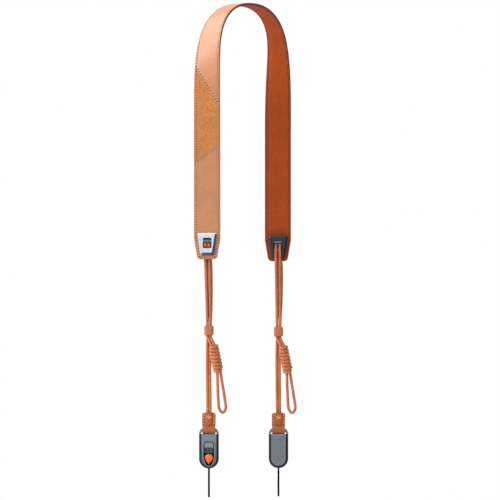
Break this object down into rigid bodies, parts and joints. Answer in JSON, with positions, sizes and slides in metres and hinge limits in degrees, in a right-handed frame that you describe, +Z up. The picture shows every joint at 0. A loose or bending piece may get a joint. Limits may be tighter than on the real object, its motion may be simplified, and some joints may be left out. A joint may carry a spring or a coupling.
{
  "type": "camera neck strap",
  "caption": "Leather neck strap hanging in its worn arch: stitched band, plates with a looped leather cord, knot and quick-release housing at each end.",
  "frame": {"origin": "the neck seat: middle of the band's inner face at the top of its arch, where the strap hangs", "axes": "+Z up, along the strap's long hang; +X from the left leg to the right leg; +Y away from the viewer"},
  "size_m": [0.1073, 0.0787, 0.5191],
  "materials": {
    "smooth_leather": "smooth light tan leather with a dark painted edge and stitched rims",
    "suede": "tan suede with a fine nap",
    "lining_leather": "reddish brown soft leather with a fine grain",
    "cord_leather": "round tan leather cord and stitched leather",
    "polished_steel": "polished silver metal",
    "black_metal": "satin black metal",
    "housing_plastic": "satin grey plastic",
    "button_plastic": "light grey plastic with fine raised dots",
    "anchor_plastic": "orange plastic",
    "black_cord": "thin black braided cord"
  },
  "bodies": {
    "strap": {"lining_leather": "lining_leather", "face_leather": "smooth_leather", "suede_panel": "suede", "tip_leather": "smooth_leather", "left_outer_plate": "polished_steel", "left_inner_plate": "black_metal", "left_cord_pin": "black_metal", "left_cord": "cord_leather", "left_sleeve": "cord_leather", "left_knot": "cord_leather", "left_tab": "cord_leather", "left_housing": "housing_plastic", "left_anchor": "anchor_plastic", "left_anchor_cord": "black_cord", "right_outer_plate": "polished_steel", "right_inner_plate": "black_metal", "right_cord_pin": "black_metal", "right_cord": "cord_leather", "right_sleeve": "cord_leather", "right_knot": "cord_leather", "right_tab": "cord_leather", "right_housing": "housing_plastic", "right_anchor": "anchor_plastic", "right_anchor_cord": "black_cord"},
    "left_button": {"left_button": "button_plastic"},
    "right_button": {"right_button": "button_plastic"}
  },
  "joints": [
    {"name": "left_button_press", "type": "slide", "parent": "strap", "child": "left_button", "axis": [0, 1, 0], "range_m": [0, 0.0012], "stiffness_N_per_m": 800},
    {"name": "right_button_press", "type": "slide", "parent": "strap", "child": "right_button", "axis": [0, -1, 0], "range_m": [0, 0.0012], "stiffness_N_per_m": 800}
  ]
}
